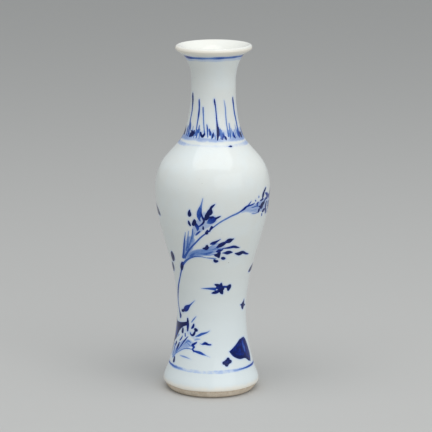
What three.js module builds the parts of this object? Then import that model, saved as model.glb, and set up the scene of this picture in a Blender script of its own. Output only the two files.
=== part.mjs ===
// A small blue and white porcelain baluster vase, 120 mm tall, for a few cut stems.
//
// It is made as a potter makes it. A foot, a body and a neck are thrown one by one and luted
// together with rings of slip, which squeeze out into a low bead on the inside. Glaze then coats
// the outside, the inside and the hollow of the base, and leaves bare the rim that it stands on.
// Every piece is turned about one axis, so each is a closed profile revolved round Z.
//
// Units are millimetres, +Z is up, and the origin is the centre of the foot ring on the table.

import * as THREE from "three";

// The glazed outline, from the table up. A rise is the height above the station below, a radius
// is measured to the glazed surface, and a slope is the change of radius with height. The body
// between waist and belly takes what the other rises leave of the height.
const HEIGHT = 120;
const CONTACT_RADIUS = 15.15;
const CONTACT_SLOPE = 0.75;
const BEVEL_RISE = 3.3;
const FOOT_RADIUS = 16.6;
const ANKLE_RISE = 3.7;
const ANKLE_RADIUS = 15.4;
const ANKLE_SLOPE = -0.34;
const WAIST_RISE = 21;
const WAIST_RADIUS = 12.0;
const FLANK_SHARE = 0.5;
const FLANK_RADIUS = 15.6;
const FLANK_SLOPE = 0.29;
const BELLY_RADIUS = 19.7;
const SHOULDER_RISE = 9;
const SHOULDER_RADIUS = 17.35;
const SHOULDER_SLOPE = -0.6;
const NECK_ROOT_RISE = 8;
const NECK_ROOT_RADIUS = 10.8;
const NECK_ROOT_SLOPE = -0.6;
const COLLAR_RISE = 6;
const COLLAR_RADIUS = 8.78;
const COLLAR_SLOPE = -0.21;
const THROAT_RISE = 11;
const THROAT_RADIUS = 7.6;
const LIP_ROOT_RISE = 9;
const LIP_ROOT_RADIUS = 8.75;
const LIP_ROOT_SLOPE = 0.45;
const LIP_RISE = 5.25;
const LIP_RADIUS = 12.95;
const LIP_SLOPE = 1.6;
const LIP_THICKNESS = 1.5;

// Walls, measured square to the surface, with the glaze on both faces.
const FOOT_WALL = 3.0;
const BODY_WALL = 2.6;
const NECK_WALL = 2.2;

// The floor inside, and the foot ring that is turned under it.
const FLOOR_HEIGHT = 7.6;
const FLOOR_FILLET = 3.5;
const RING_WIDTH = 2.8;
const RECESS_DEPTH = 2.6;
const RECESS_FILLET = 1.2;

// Glaze and slip. The glaze stops short of the foot's rim, outside and in the recess.
const GLAZE_THICKNESS = 0.3;
const BARE_HEIGHT = 2.6;
const RECESS_BARE_HEIGHT = 0.9;
const SLIP_THICKNESS = 0.4;
const BEAD_REACH = 0.5;
const BEAD_HEIGHT = 2.4;

// How finely the pieces are faceted, round the axis and along the rounded edges.
const FACETS_ROUND = 32;
const LIP_FACETS = 4;
const MOUTH_FACETS = 2;
const FILLET_FACETS = 3;

const QUARTER_TURN = Math.PI / 2;

// The stations of the outline. Between two of them runs a cubic that meets both slopes, in as
// many straight facets as the upper one names. Its wall is the one behind it.
function stack(rows) {
  let height = 0;
  return rows.map(([rise, radius, slope, wall, facets]) => {
    height += rise;
    return { height, radius, slope, wall, facets };
  });
}

const bodyRise =
  HEIGHT -
  (BEVEL_RISE + ANKLE_RISE + WAIST_RISE) -
  (SHOULDER_RISE + NECK_ROOT_RISE + COLLAR_RISE + THROAT_RISE) -
  (LIP_ROOT_RISE + LIP_RISE + LIP_THICKNESS / 2);

const outline = stack([
  [0, CONTACT_RADIUS, CONTACT_SLOPE, FOOT_WALL, 0],
  [BEVEL_RISE, FOOT_RADIUS, 0, FOOT_WALL, 2],
  [ANKLE_RISE, ANKLE_RADIUS, ANKLE_SLOPE, FOOT_WALL, 2],
  [WAIST_RISE, WAIST_RADIUS, 0, FOOT_WALL, 5],
  [bodyRise * FLANK_SHARE, FLANK_RADIUS, FLANK_SLOPE, BODY_WALL, 4],
  [bodyRise * (1 - FLANK_SHARE), BELLY_RADIUS, 0, BODY_WALL, 4],
  [SHOULDER_RISE, SHOULDER_RADIUS, SHOULDER_SLOPE, BODY_WALL, 3],
  [NECK_ROOT_RISE, NECK_ROOT_RADIUS, NECK_ROOT_SLOPE, NECK_WALL, 3],
  [COLLAR_RISE, COLLAR_RADIUS, COLLAR_SLOPE, NECK_WALL, 2],
  [THROAT_RISE, THROAT_RADIUS, 0, NECK_WALL, 2],
  [LIP_ROOT_RISE, LIP_ROOT_RADIUS, LIP_ROOT_SLOPE, NECK_WALL, 3],
]);
const ankle = outline[2];
const waist = outline[3];
const neckRoot = outline[7];
const lipRoot = outline[10];

// The lip is a round roll on the end of a flare, and the flare's two faces run into its sides.
const lipRound = LIP_THICKNESS / 2;
const lipTurn = Math.atan(LIP_SLOPE);
const lipCentre = new THREE.Vector2(LIP_RADIUS - lipRound, lipRoot.height + LIP_RISE);

function lipStation(side) {
  return {
    height: lipCentre.y - side * lipRound * Math.sin(lipTurn),
    radius: lipCentre.x + side * lipRound * Math.cos(lipTurn),
    slope: LIP_SLOPE,
    facets: 3,
  };
}

// The inner wall has the same stations from the ankle up, and half the facets.
const steepness = (slope) => Math.hypot(1, slope);
const inline = outline.slice(outline.indexOf(ankle)).map((station) => ({
  ...station,
  radius: station.radius - station.wall * steepness(station.slope),
  facets: Math.ceil(station.facets / 2),
}));
outline.push(lipStation(1));
inline.push(lipStation(-1));

// The point of a curve at a height, moved sideways by the width that a depth takes there.
function pointOn(curve, height, depth) {
  const above = curve.findIndex((station, i) => i > 0 && station.height >= height);
  const top = curve[above];
  const low = curve[above - 1];
  const rise = top.height - low.height;
  const t = (height - low.height) / rise;
  const share = t * t * (3 - 2 * t);
  const radius =
    low.radius * (1 - share) +
    top.radius * share +
    rise * t * (1 - t) * ((1 - t) * low.slope - t * top.slope);
  const slope =
    (6 * t * (1 - t) * (top.radius - low.radius)) / rise +
    (1 - t) * (1 - 3 * t) * low.slope +
    t * (3 * t - 2) * top.slope;
  return new THREE.Vector2(radius + depth * steepness(slope), height);
}

// A depth is measured from the glazed face into the wall, so it leads outwards on the inside.
const outside = (height, depth) => pointOn(outline, height, -depth);
const inside = (height, depth) => pointOn(inline, height, depth);

// The inner face with the slip's beads on it, which are at their fullest at the joints.
const joints = [waist.height, neckRoot.height];

function beaded(height, depth) {
  const point = inside(height, depth);
  const away = Math.min(...joints.map((joint) => Math.abs(height - joint)));
  const share = (away - SLIP_THICKNESS / 2) / ((BEAD_HEIGHT - SLIP_THICKNESS) / 2);
  point.x -= BEAD_REACH * Math.max(0, 1 - share);
  return point;
}

// The heights of the rings of facets. Neighbouring pieces share them and meet facet to facet.
const evenly = (from, to, count) =>
  Array.from({ length: count + 1 }, (_, i) => from + ((to - from) * i) / count);

function ringHeights(curve, fixed) {
  const even = curve.slice(1).flatMap((top, i) => evenly(curve[i].height, top.height, top.facets));
  const free = even.filter((height) => fixed.every((at) => Math.abs(height - at) > SLIP_THICKNESS));
  return [...new Set([...free, ...fixed])].sort((a, b) => a - b);
}

const either = (spread) => joints.flatMap((joint) => [joint - spread / 2, joint + spread / 2]);
const floorEdge = FLOOR_HEIGHT + FLOOR_FILLET;
const outerHeights = ringHeights(outline, [BARE_HEIGHT, ...either(SLIP_THICKNESS)]);
const innerHeights = ringHeights(inline, [...either(SLIP_THICKNESS), ...either(BEAD_HEIGHT)]);

// Runs of points up either face. The ends that the lip and the floor round off are left to them.
const outerRun = (from, to, depth) =>
  outerHeights
    .filter((height) => height >= from && height <= to && height < outline.at(-1).height)
    .map((height) => outside(height, depth));
const innerRun = (from, to, depth, face = inside) =>
  innerHeights
    .filter((height) => height >= from && height <= to && height < inline.at(-1).height)
    .map((height) => face(height, depth));

// Round edges, each an arc about a centre in the plane of the profile.
const arc = (centre, radius, from, to, facets) =>
  evenly(from, to, facets).map(
    (turn) => new THREE.Vector2(Math.cos(turn), Math.sin(turn)).multiplyScalar(radius).add(centre),
  );
const lip = (depth) => arc(lipCentre, lipRound - depth, -lipTurn, QUARTER_TURN, LIP_FACETS);
const mouth = (depth) =>
  arc(lipCentre, lipRound - depth, Math.PI - lipTurn, QUARTER_TURN, MOUTH_FACETS);

function floor(depth) {
  const centre = new THREE.Vector2(inside(floorEdge, 0).x - FLOOR_FILLET, floorEdge);
  const edge = arc(centre, FLOOR_FILLET + depth, -QUARTER_TURN, 0, FILLET_FACETS);
  return [new THREE.Vector2(0, FLOOR_HEIGHT - depth), ...edge];
}

const ringInner = outside(0, GLAZE_THICKNESS).x - RING_WIDTH;

function recess(depth, rimHeight) {
  const radius = ringInner - GLAZE_THICKNESS;
  const centre = new THREE.Vector2(radius - RECESS_FILLET, RECESS_DEPTH - RECESS_FILLET);
  const edge = arc(centre, RECESS_FILLET + depth, QUARTER_TURN, 0, FILLET_FACETS);
  const rim = new THREE.Vector2(radius + depth, rimHeight);
  return [new THREE.Vector2(0, RECESS_DEPTH + depth), ...edge, rim];
}

// A piece turned from its profile, which runs anticlockwise with the axis on its left.
const vase = new THREE.Group();

function addTurned(name, look, profile) {
  const closed = profile[0].x === 0 ? profile : [...profile, profile[0].clone()];
  const geometry = new THREE.LatheGeometry(closed, FACETS_ROUND).rotateX(QUARTER_TURN);
  const mesh = new THREE.Mesh(geometry, new THREE.MeshStandardMaterial(look));
  mesh.name = name;
  vase.add(mesh);
}

const clayLook = { color: 0xada290, roughness: 0.8, metalness: 0 };
const slipLook = { color: 0xc4bba8, roughness: 0.85, metalness: 0 };
const glazeLook = { color: 0xdde4e6, roughness: 0.1, metalness: 0 };

// The clay lies a coat of glaze under the outline. Each section ends at the slip of its joint.
const clay = GLAZE_THICKNESS;
const below = (joint) => joint - SLIP_THICKNESS / 2;
const above = (joint) => joint + SLIP_THICKNESS / 2;

addTurned("foot_section", clayLook, [
  ...recess(clay, 0),
  ...outerRun(0, below(waist.height), clay),
  ...innerRun(floorEdge, below(waist.height), clay).reverse(),
  ...floor(clay).reverse(),
]);

addTurned("body_section", clayLook, [
  ...outerRun(above(waist.height), below(neckRoot.height), clay),
  ...innerRun(above(waist.height), below(neckRoot.height), clay).reverse(),
]);

addTurned("neck_section", clayLook, [
  ...outerRun(above(neckRoot.height), Infinity, clay),
  ...lip(clay),
  ...mouth(clay).slice(0, -1).reverse(),
  ...innerRun(above(neckRoot.height), Infinity, clay).reverse(),
]);

// A luting ring fills its joint and laps over both sections inside, where it squeezed out.
function lutingRing(joint) {
  const from = joint - BEAD_HEIGHT / 2;
  const to = joint + BEAD_HEIGHT / 2;
  return [
    ...outerRun(below(joint), above(joint), clay),
    ...innerRun(above(joint), to, clay),
    ...innerRun(from, to, clay, beaded).slice(1, -1).reverse(),
    ...innerRun(from, below(joint), clay),
  ];
}

addTurned("waist_luting_ring", slipLook, lutingRing(waist.height));
addTurned("neck_luting_ring", slipLook, lutingRing(neckRoot.height));

// The coats of glaze. The outer and the inner one meet along the crown of the lip.
const outerFace = (depth) => [...outerRun(BARE_HEIGHT, Infinity, depth), ...lip(depth)];
const innerFace = (depth) => [
  ...floor(depth),
  ...innerRun(floorEdge, Infinity, depth, beaded),
  ...mouth(depth),
];

addTurned("outer_glaze", glazeLook, [...outerFace(0), ...outerFace(clay).reverse()]);
addTurned("inner_glaze", glazeLook, [...innerFace(clay), ...innerFace(0).reverse()]);
addTurned("base_glaze", glazeLook, [
  ...recess(0, RECESS_BARE_HEIGHT),
  ...recess(clay, RECESS_BARE_HEIGHT).reverse(),
]);

export default vase;
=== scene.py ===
"""A small blue and white porcelain vase: smooth turned clay, slip and glaze over its CAD frame.

The profiles come from the frame, and every piece is turned from one of them. The cobalt painting
under the outer glaze is laid stroke by stroke, as a painter lays it, and kept on the mesh as
numbers: how far each point lies from the nearest edge of a stroke, and how strong its blue is.
The mesh is finest where the brush went. Angles on the vase are in degrees from the front, to the
right, and heights and widths are in millimetres.
"""

import math
from collections import Counter

import bpy
import numpy as np
from mathutils import Matrix, Vector


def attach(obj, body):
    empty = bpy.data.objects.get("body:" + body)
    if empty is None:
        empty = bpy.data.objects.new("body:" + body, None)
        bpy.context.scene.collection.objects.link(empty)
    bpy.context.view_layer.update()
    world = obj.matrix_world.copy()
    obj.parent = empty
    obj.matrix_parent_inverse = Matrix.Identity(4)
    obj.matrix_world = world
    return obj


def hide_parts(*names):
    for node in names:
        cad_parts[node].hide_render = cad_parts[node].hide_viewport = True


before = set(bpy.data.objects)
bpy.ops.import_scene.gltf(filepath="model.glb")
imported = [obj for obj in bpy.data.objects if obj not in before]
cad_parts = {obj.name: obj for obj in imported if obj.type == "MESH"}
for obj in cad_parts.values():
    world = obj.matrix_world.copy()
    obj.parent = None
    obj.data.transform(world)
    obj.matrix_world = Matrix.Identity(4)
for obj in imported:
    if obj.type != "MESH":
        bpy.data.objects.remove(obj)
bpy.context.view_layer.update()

MM = 0.001
NEARLY_ZERO = 1e-6
HALF_TURN = 180
rng = np.random.default_rng(7)

# The turned pieces: how finely they are made, in millimetres and in columns round the axis. Cells
# that the edge of a stroke crosses are split further, into fewer columns where the vase is slim.
SHOWN_STEP = 0.88
HIDDEN_STEP = 4.0
COLUMNS = 144
PLAIN_COLUMNS = 96
ROW_BEND = math.radians(12)
CORNER_TURN = math.radians(55)
ROUNDING = 0.2
ROUNDING_ROWS = 3
LARGEST_CUT = 0.45
PAINT_REFINE = 4
PAINT_MARGIN = 0.45
SLIM_RADIUS = 11
HIDDEN_UV_SHARE = 0.03

# What hand work leaves: the whole vase is a little out of true above its foot, the lip most, and
# its glaze ends unevenly. The lip is fuller than the profile is there.
SWAY = 0.07
SWAY_HEIGHTS = (3, 30)
SWAY_RADII = (0, 3)
LIP_SWAY_HEIGHTS = (104, 119)
EDGE_WANDER = 0.22
EDGE_BLEND = 1.6
EDGE_ROLL = 0.07
EDGE_ROLL_HEIGHT = 0.45
LIP_FULLNESS = 0.55
LIP_FULLEST = 118.1
LIP_SPREAD = 0.8

# The brush: how closely a stroke is followed, how thin it can get, how far from it a place is
# still measured, and over how far its strength fades beyond its edge.
SAMPLE_STEP = 0.12
FEWEST_SAMPLES = 3
THINNEST = 0.1
FAR_EDGE = 2.0
TONE_BLEND = 0.2
FACE_BLEND = (-0.2, 0.4)
BLOCK_SIZE = 4_000_000


def spline(knots, values, at):
    """A natural cubic spline through values at knots, read off at the given places."""
    count = len(knots)
    gaps = np.diff(knots)
    slopes = np.diff(values, axis=0) / gaps[:, None]
    system = np.eye(count)
    bends = np.zeros_like(values, dtype=float)
    for i in range(1, count - 1):
        system[i, i - 1 : i + 2] = gaps[i - 1], 2 * (gaps[i - 1] + gaps[i]), gaps[i]
        bends[i] = 6 * (slopes[i] - slopes[i - 1])
    bends = np.linalg.solve(system, bends)
    i = np.clip(np.searchsorted(knots, at, side="right") - 1, 0, count - 2)
    gap = gaps[i][:, None]
    up = (at - knots[i])[:, None]
    down = gap - up
    curve = (bends[i] * down**3 + bends[i + 1] * up**3) / (6 * gap)
    low = (values[i] / gap - bends[i] * gap / 6) * down
    return curve + low + (values[i + 1] / gap - bends[i + 1] * gap / 6) * up


def along(points):
    """The distance from the first point to each point, along the line through them."""
    return np.concatenate([[0], np.cumsum(np.hypot(*np.diff(points, axis=0).T))])


def smoothstep(low, high, value):
    """How far a value is from low to high, from 0 to 1, with soft ends."""
    share = np.clip((value - low) / (high - low), 0, 1)
    return share * share * (3 - 2 * share)


def swell(value, middle, spread):
    """A soft bump: 1 at the middle, and next to nothing beyond two spreads from it."""
    return np.exp(-(((value - middle) / spread) ** 2))


def around(radius, angle, height):
    """Places round the axis at angles from the front, which faces -Y."""
    return np.stack([radius * np.sin(angle), -radius * np.cos(angle), height], axis=-1)


def meridian(node):
    """The profile that a CAD node is turned from, as (radius, height) points in order.

    It is a closed loop, or a path from the axis to the axis, with the clay on its left."""
    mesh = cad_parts[node].data
    points = {}
    names = {}
    for vertex in mesh.vertices:
        if abs(vertex.co.y) < NEARLY_ZERO and vertex.co.x > -NEARLY_ZERO:
            key = (round(vertex.co.x / MM, 3), round(vertex.co.z / MM, 3))
            names[vertex.index] = key
            points.setdefault(key, set())
    for edge in mesh.edges:
        a, b = (names.get(v) for v in edge.vertices)
        if a and b and a != b:
            points[a].add(b)
            points[b].add(a)
    ends = [key for key, near in points.items() if len(near) == 1]
    path = [min(ends) if ends else min(points)]
    while True:
        onward = [key for key in sorted(points[path[-1]]) if key not in path]
        if not onward:
            break
        path.append(onward[0])
    path = np.array(path, float)
    x, z = path.T
    area = np.sum(x * np.roll(z, -1) - np.roll(x, -1) * z)
    return (path if area > 0 else path[::-1]), not ends


profiles = {node: meridian(node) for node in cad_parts}

# The profile points that two pieces have in common, where one lies on the other.
counts = Counter(tuple(point) for points, _ in profiles.values() for point in points)
touching = {point for point, count in counts.items() if count > 1}


def cornered(node):
    """A node's profile, how far it turns at each point, and which points are its corners.

    A closed profile starts and ends at a corner, and an open one at the axis."""
    points, closed = profiles[node]
    before, after = (points[-1], points[0]) if closed else (points[0], points[-1])
    loop = np.vstack([before, points, after])
    back = loop[1:-1] - loop[:-2]
    ahead = loop[2:] - loop[1:-1]
    across = back[:, 0] * ahead[:, 1] - back[:, 1] * ahead[:, 0]
    turns = np.abs(np.arctan2(across, np.sum(back * ahead, axis=1)))
    corners = np.flatnonzero(turns > CORNER_TURN)
    if closed:
        turns = np.roll(turns, -corners[0])
        turns = np.append(turns, turns[0])
        points = np.roll(points, -corners[0], axis=0)
        points = np.vstack([points, points[:1]])
        corners = np.append(corners - corners[0], len(points) - 1)
    else:
        corners = np.unique(np.concatenate([[0], corners, [len(points) - 1]]))
    return points, turns, corners, closed


def cut(points, lies_on, corner, other):
    """Where the rounding of a corner starts, on the way to the next profile point."""
    if points[corner][0] == 0 or lies_on[corner]:
        return points[corner]
    way = points[other] - points[corner]
    return points[corner] + way * min(ROUNDING / math.hypot(*way), LARGEST_CUT)


def profile_rows(node, refine):
    """The rows that a node's smooth piece is turned from: points, which are sharp, which show."""
    points, turns, corners, closed = cornered(node)
    lies_on = np.array([tuple(point) in touching for point in points])
    rows = []
    for first, last in zip(corners[:-1], corners[1:]):
        run = points[first : last + 1].copy()
        run[0] = cut(points, lies_on, first, first + 1)
        run[-1] = cut(points, lies_on, last, last - 1)
        knots = along(run)
        for i in range(len(run) - 1):
            hidden = lies_on[first + i] and lies_on[first + i + 1]
            bend = max([turns[first + k] for k in (i, i + 1) if 0 < k < len(run) - 1], default=0)
            steps = (knots[i + 1] - knots[i]) / (HIDDEN_STEP if hidden else SHOWN_STEP)
            count = refine * max(1, round(steps), math.ceil(bend / ROW_BEND))
            at = np.linspace(knots[i], knots[i + 1], count + 1)[:-1]
            for k, point in enumerate(spline(knots, run, at)):
                rows.append((point, i == 0 and k == 0 and lies_on[first], not hidden))
        if points[last][0] != 0 and not lies_on[last]:
            onward = last + 1 if last + 1 < len(points) else 1
            start, middle, end = run[-1], points[last], cut(points, lies_on, last, onward)
            for share in np.arange(refine * ROUNDING_ROWS) / (refine * ROUNDING_ROWS):
                point = start * (1 - share) ** 2 + 2 * middle * share * (1 - share) + end * share**2
                rows.append((point, False, True))
        elif last == corners[-1] and not closed:
            rows.append((points[last], False, False))
    places, sharp, shown = (np.array(column) for column in zip(*rows))
    return places, sharp, shown, closed


def sway(angle, height):
    """How far the vase is out of true: outwards and upwards, the same for every piece."""
    free = smoothstep(*SWAY_HEIGHTS, height)
    lip = smoothstep(*LIP_SWAY_HEIGHTS, height)
    out = 0.6 * np.sin(2 * angle + 0.05 * height) + 0.3 * np.sin(3 * angle - 0.11 * height + 1)
    out += 0.25 * np.sin(0.9 * height + 0.5 * np.sin(angle)) + 0.5 * lip * np.sin(2 * angle + 2.1)
    up = lip * (3 * np.sin(angle) + 0.7 * np.sin(2 * angle + 0.8))
    return SWAY * free * out, SWAY * free * up


def glaze_edge(angle):
    """How far the glaze's lower edge strays from its level, and how far it rolls out there."""
    wander = 0.5 * np.sin(3 * angle + 0.4) + 0.3 * np.sin(7 * angle + 2) + 0.2 * np.sin(13 * angle)
    roll = 0.7 + 0.3 * np.sin(5 * angle + 1.2)
    return EDGE_WANDER * wander, EDGE_ROLL * roll


def painted_cells(rows, shown, angles, columns, refine, paint):
    """Which cells of a turned piece are split finely, because the edge of a stroke crosses them."""
    level, column = np.meshgrid(np.arange(0, len(rows), refine), np.arange(columns), indexing="ij")
    angle = angles[column * refine].ravel()
    layers = paint(angle, rows[level].reshape(-1, 2), shown[level].ravel())
    close = (np.abs(layers["stroke_edge"]) < PAINT_MARGIN).reshape(level.shape)
    near = close | np.roll(close, -1, axis=0)
    near |= np.roll(near, -1, axis=1)
    return near & shown[::refine][:, None]


def turned_faces(rows, closed, columns, refine, split, v):
    """The faces of a turned piece, by row and column, where split cells meet whole ones cleanly."""
    fine_columns = columns * refine
    levels = len(rows) if closed else len(rows) - 1
    tiles = []
    for i in range(levels // refine):
        across = refine // 2 if rows[i * refine][0] < SLIM_RADIUS and refine > 1 else 1
        for j in range(columns):
            down, side = (1, across) if split[i, j] else (refine, refine)
            for a in range(i * refine, (i + 1) * refine, down):
                for b in range(j * refine, (j + 1) * refine, side):
                    tiles.append((a, b, a + down, b + side))
    used = np.zeros((levels + 1, fine_columns + 1), bool)
    for low, left, high, right in tiles:
        used[low, left] = used[low, right] = used[high, left] = used[high, right] = True
    if closed:
        used[0] |= used[-1]
        used[-1] = used[0]
    used[:, 0] |= used[:, -1]
    used[:, -1] = used[:, 0]
    places, faces, uvs = {}, [], []
    for low, left, high, right in tiles:
        border = [(low, b) for b in range(left, right)] + [(a, right) for a in range(low, high)]
        border += [(high, b) for b in range(right, left, -1)]
        border += [(a, left) for a in range(high, low, -1)]
        face = []
        for i, j in (corner for corner in border if used[corner]):
            here = i % len(rows)
            spot = (here, 0 if rows[here][0] == 0 else j % fine_columns)
            index = places.setdefault(spot, len(places))
            if index not in face:
                face.append(index)
                uvs.append((j / fine_columns, v[i]))
        faces.append(face)
    return np.array(list(places)), faces, uvs


def hand_made(rows, row, angle, shown, full_lip, edge_height):
    """Where a turned piece's points lie once its hand work is in, in metres."""
    radius, height = rows[row].T.copy()
    if full_lip:
        radius += LIP_FULLNESS * swell(height, LIP_FULLEST, LIP_SPREAD) * shown[row]
    if edge_height is not None:
        near = 1 - smoothstep(edge_height, edge_height + EDGE_BLEND, height)
        wander, roll = glaze_edge(angle)
        bulge = swell(height - edge_height, EDGE_ROLL_HEIGHT, EDGE_ROLL_HEIGHT)
        out, up = np.gradient(rows[:, 0]), np.gradient(rows[:, 1])
        slope = np.clip(out / np.where(up == 0, 1, up), -1, 1)[row]
        radius += slope * wander * near + roll * bulge * shown[row]
        height += wander * near
    out, up = sway(angle, height)
    radius = np.where(radius > 0, radius + out * smoothstep(*SWAY_RADII, radius), 0)
    return around(radius, angle, height + up) * MM


def turned(name, node, material, columns=PLAIN_COLUMNS, paint=None, edge_height=None):
    """Adds the smooth piece that stands for a node. Its cells are split where paint says so."""
    refine = PAINT_REFINE if paint else 1
    rows, sharp, shown, closed = profile_rows(node, refine)
    lengths = np.hypot(*(np.roll(rows, -1, axis=0) - rows).T) * np.where(shown, 1, HIDDEN_UV_SHARE)
    if not closed:
        lengths[-1] = 0
    v = np.concatenate([[0], np.cumsum(lengths)]) / lengths.sum()
    angles = (np.arange(columns * refine) / (columns * refine) - 0.5) * 2 * np.pi
    split = np.zeros((len(rows), columns), bool)
    if paint:
        split = painted_cells(rows, shown, angles, columns, refine, paint)
    places, faces, uvs = turned_faces(rows, closed, columns, refine, split, v)
    row, column = places.T
    angle = angles[column]
    vertices = hand_made(rows, row, angle, shown, paint is not None, edge_height)
    mesh = bpy.data.meshes.new(name)
    mesh.from_pydata(vertices.tolist(), [], faces, shade_flat=False)
    mesh.uv_layers.new(name="OFBake").data.foreach_set("uv", np.array(uvs, np.float32).ravel())
    ends = np.zeros(len(mesh.edges) * 2, int)
    mesh.edges.foreach_get("vertices", ends)
    ends = row[ends.reshape(-1, 2)]
    crease = sharp[ends[:, 0]] & (ends[:, 0] == ends[:, 1])
    mesh.attributes.new("sharp_edge", "BOOLEAN", "EDGE").data.foreach_set("value", crease)
    if paint:
        for key, values in paint(angle, rows[row], shown[row]).items():
            layer = mesh.attributes.new(key, "FLOAT", "POINT")
            layer.data.foreach_set("value", values.astype(np.float32))
    piece = bpy.data.objects.new(name, mesh)
    bpy.context.scene.collection.objects.link(piece)
    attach(piece, "root")
    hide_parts(node)
    mesh.materials.append(material)


# The painting. A stroke is the points that the brush passed through. Each has an angle, a height,
# the stroke's width there, and the strength of its blue from 0 to 1.
RING_STEP = 6
FRONT_FOCUS = 2.5


def ring(height, widths, tones, wander, phase):
    """A line drawn all round while the vase turns, from its values at the back to those in front."""
    points = []
    for angle in range(-HALF_TURN, HALF_TURN + 1, RING_STEP):
        turn = math.radians(angle)
        front = (0.5 + 0.5 * math.cos(turn + 0.2 * math.sin(3 * turn + phase))) ** FRONT_FOCUS
        uneven = 1 + 0.1 * math.sin(5 * turn + phase) + 0.08 * math.sin(11 * turn)
        rise = wander * (math.sin(2 * turn + phase) + 0.4 * math.sin(5 * turn + 2 * phase))
        width = widths[0] + (widths[1] - widths[0]) * front
        tone = tones[0] + (tones[1] - tones[0]) * front
        points.append((angle, height + rise, width * uneven, tone * uneven))
    return points


LIP_LINE = ring(116.62, (1.3, 1.05), (0.8, 0.5), 0.06, 0.7)
PALE_RINGS = [
    # The first ring, just under the lip line, is painted shade: a pale blue band where the lip's
    # overhang shades the neck.
    ring(116.2, (2.2, 1.8), (0.22, 0.15), 0.05, 1.7),
    ring(90.8, (2.8, 2.4), (0.2, 0.15), 0.25, 0.9),
    ring(89, (2, 1.3), (0.42, 0.28), 0.06, 2.5),
    ring(86.95, (1.2, 0.5), (0.42, 0.1), 0.07, 1.9),
    ring(9.05, (0.8, 0.65), (0.6, 0.42), 0.06, 0.2),
]
GROUND = [
    [(34, 9.1, 0.2, 0.45), (46, 9.1, 0.5, 0.56), (58, 9.1, 0.65, 0.66), (72, 9.05, 0.75, 0.74),
     (86, 9.05, 0.6, 0.7), (104, 9.1, 0.2, 0.55)],
    [(-108, 9, 0.2, 0.55), (-92, 9.05, 0.5, 0.62), (-76, 9.1, 0.65, 0.66), (-62, 9.05, 0.55, 0.58),
     (-46, 9, 0.2, 0.45)],
]

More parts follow.
